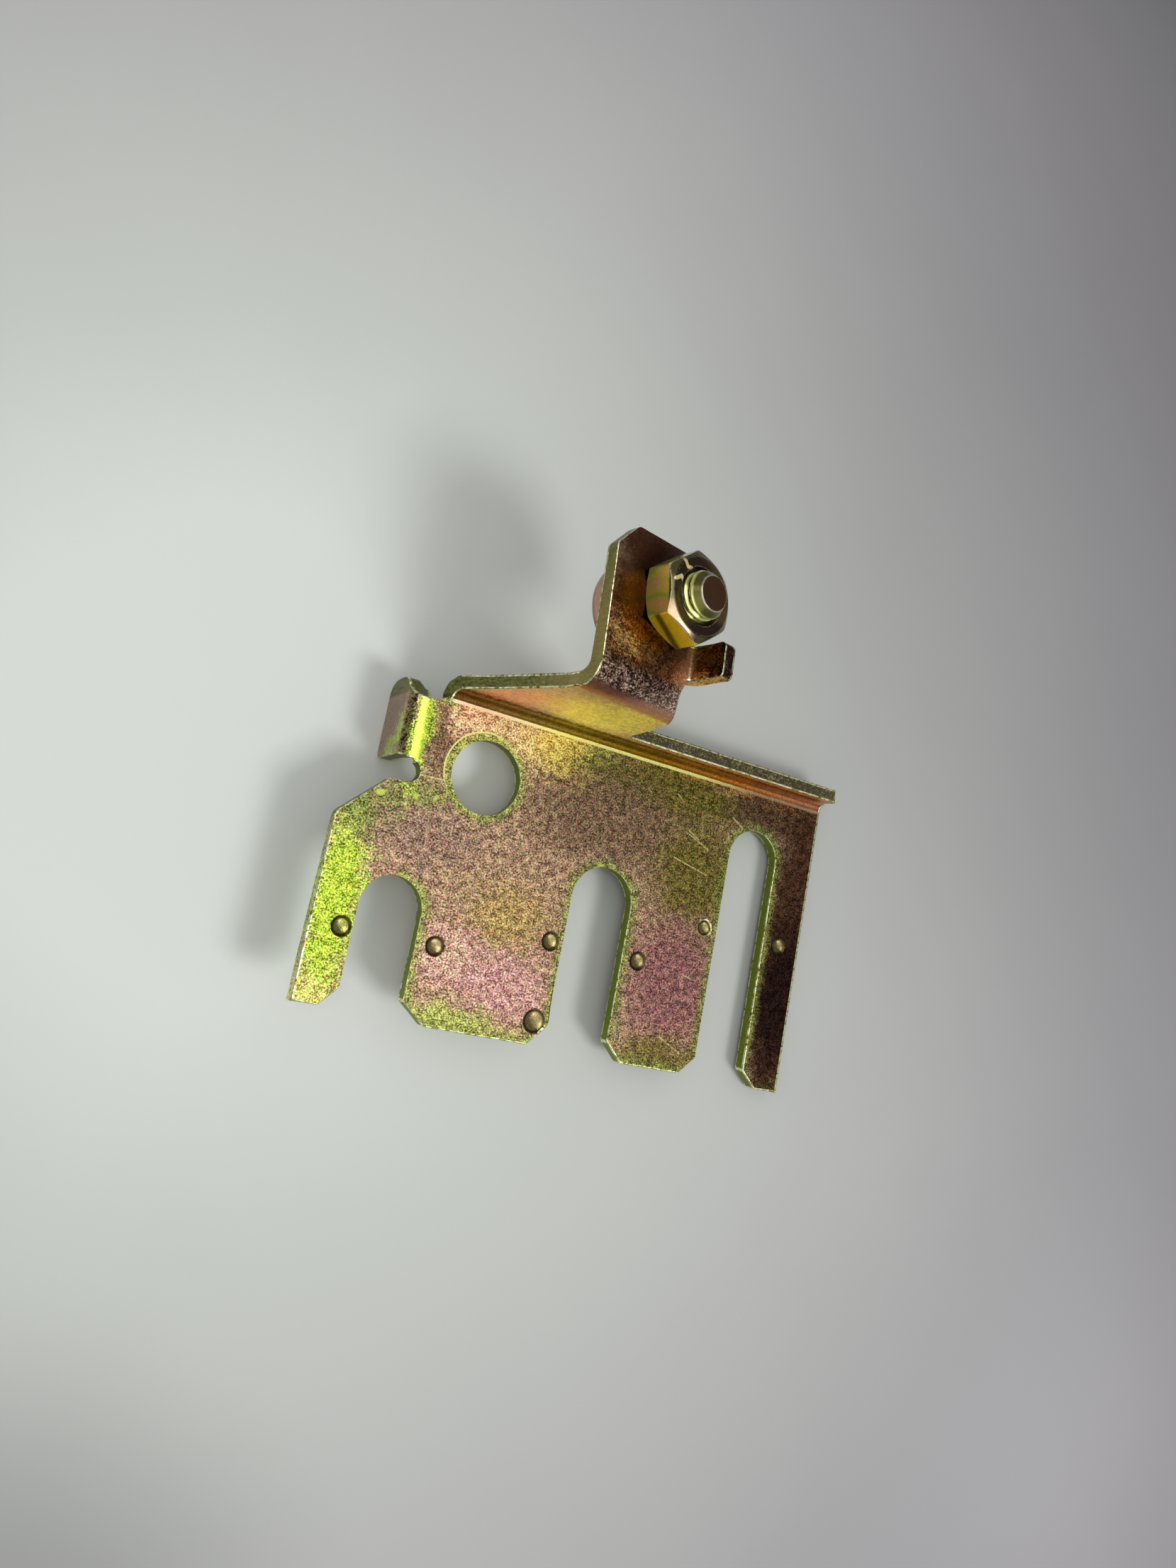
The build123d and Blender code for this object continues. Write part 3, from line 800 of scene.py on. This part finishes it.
def screw_film(tree, spot, axes):
    """Lime, brightened as a painted highlight, on the thread's crests and painted shade in
    its grooves, olive on the cone and brown on the end; pink to green on the head."""
    height, radius = axes["Height"], axes["Radius"]
    # the crests are painted bright as a highlight and the grooves dark as shade
    thread = blend(tree, fade(tree, radius, 2.5, 2.9), tint(58, 50, 22), tint(250, 250, 146))
    end = blend(tree, fade(tree, radius, 2.0, 2.2), tint(84, 56, 34), tint(190, 186, 160))
    cone = blend(tree, fade(tree, height, 5.15, 5.4), thread, tint(104, 100, 50))
    shown = blend(tree, fade(tree, height, 5.95, 6.08), cone, end)
    head = ramp(tree, calc(tree, "MULTIPLY_ADD", height, -0.15, -0.25),
                (0.02, tint(80, 74, 40)), (0.10, tint(120, 134, 50)),
                (0.30, tint(140, 134, 80)), (0.45, tint(182, 144, 124)))
    return blend(tree, fade(tree, height, -1.0, -0.5), head, shown)


screw.data.materials.append(bright_plating("plated_screw", screw_film, 0.82))


# ------------------------------------------------------------ hexagon nut
# A steel nut, 10 mm across its flats, with bevelled corners and foot. It is
# screwed down on the lug's face and plated like the screw.
NUT_PROFILE = (          # radius and height, from the bore over the top and back to it
    (3.04, 0.05), (3.04, 3.75), (3.55, 4.18), (4.65, 4.2), (5.9, 3.38), (5.9, 0.5),
    (5.05, 0.02), (3.04, 0.02))
FLAT_DISTANCE, NUT_TURN, CORNERS = 5.0, radians(8), 110
SCUFFS = (          # from and to, across the lug and out, of painted glints on the nut's top
    ((8.36, 13.40), (8.99, 12.69)), ((8.99, 12.69), (9.7, 12.75)),
    ((7.31, 10.61), (8.17, 11.21)), ((8.17, 11.21), (8.7, 10.6)))
NUT_TOP = 4.2

# the distance to six flats, joined by a high power that leaves the corners barely soft,
# and no more than the round profile allows
flat_bearing = NUT_TURN + np.arange(6)[:, None, None] * np.pi / 3
nearness = np.clip(np.cos(angle[None, None] - flat_bearing), 1e-3, None) / FLAT_DISTANCE
hexagon = (nearness ** CORNERS).sum(0) ** (-1 / CORNERS)
r, h = spun(NUT_PROFILE, 0.06)
r = np.minimum(r, hexagon)
nut = turned("hex_nut", np.vstack((r, r[:1])), np.vstack((h, h[:1])))
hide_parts("nut")


def nut_film(tree, spot, axes):
    """Lime and straw streaks to the left, striped yellow below, brown on top with a
    paler bevel that has a painted highlight on one side, and two hooked painted glints."""
    height, bearing = axes["Height"], calc(tree, "ADD", axes["Bearing"], radians(112))
    swing = noise(tree, stretched(tree, spot, (0.10, 0.30, 0.14), (0.3, 0.2, 0.8)), 1.0, 1)
    left = ramp(tree, swing, (0.38, tint(212, 190, 114)), (0.47, tint(200, 206, 88)),
                (0.55, tint(156, 196, 74)), (0.62, tint(214, 190, 106)))
    lean = calc(tree, "MULTIPLY_ADD", bearing, 1.15, calc(tree, "SUBTRACT", height, 1.25))
    stripe = fade_out(tree, calc(tree, "ABSOLUTE", lean), 0.15, 0.75, 0.85)
    below = blend(tree, stripe, tint(236, 208, 40), tint(80, 60, 14))
    sides = blend(tree, fade(tree, calc(tree, "COSINE", bearing), 0.84, 0.88), left, below)
    top = blend(tree, fade(tree, swing, 0.42, 0.60), tint(46, 28, 14), tint(86, 72, 36))
    bevel = product(tree, fade(tree, axes["Radius"], 4.7, 4.85), fade(tree, height, 3.4, 3.6))
    lit_way = calc(tree, "ADD", axes["Bearing"], radians(125))
    # a painted highlight on one side of the bevel
    lit_side = fade(tree, calc(tree, "COSINE", lit_way), 0.80, 0.97, 0.0, 0.9)
    top = blend(tree, product(tree, bevel, 0.8), top, tint(96, 92, 54))
    top = blend(tree, product(tree, bevel, lit_side), top, tint(246, 218, 178))
    # two hooked painted glints on the nut's top
    for start, end in SCUFFS:
        scuff = use(tree, mark_line, Position=spot, From=on_lug(*start, NUT_TOP),
                    To=on_lug(*end, NUT_TOP))["Distance"]
        top = blend(tree, fade_out(tree, scuff, 0.14, 0.30, 0.9), top, tint(255, 236, 160))
    return blend(tree, fade(tree, height, 3.55, 3.7), sides, top)


nut.data.materials.append(bright_plating("plated_nut", nut_film, 0.66))
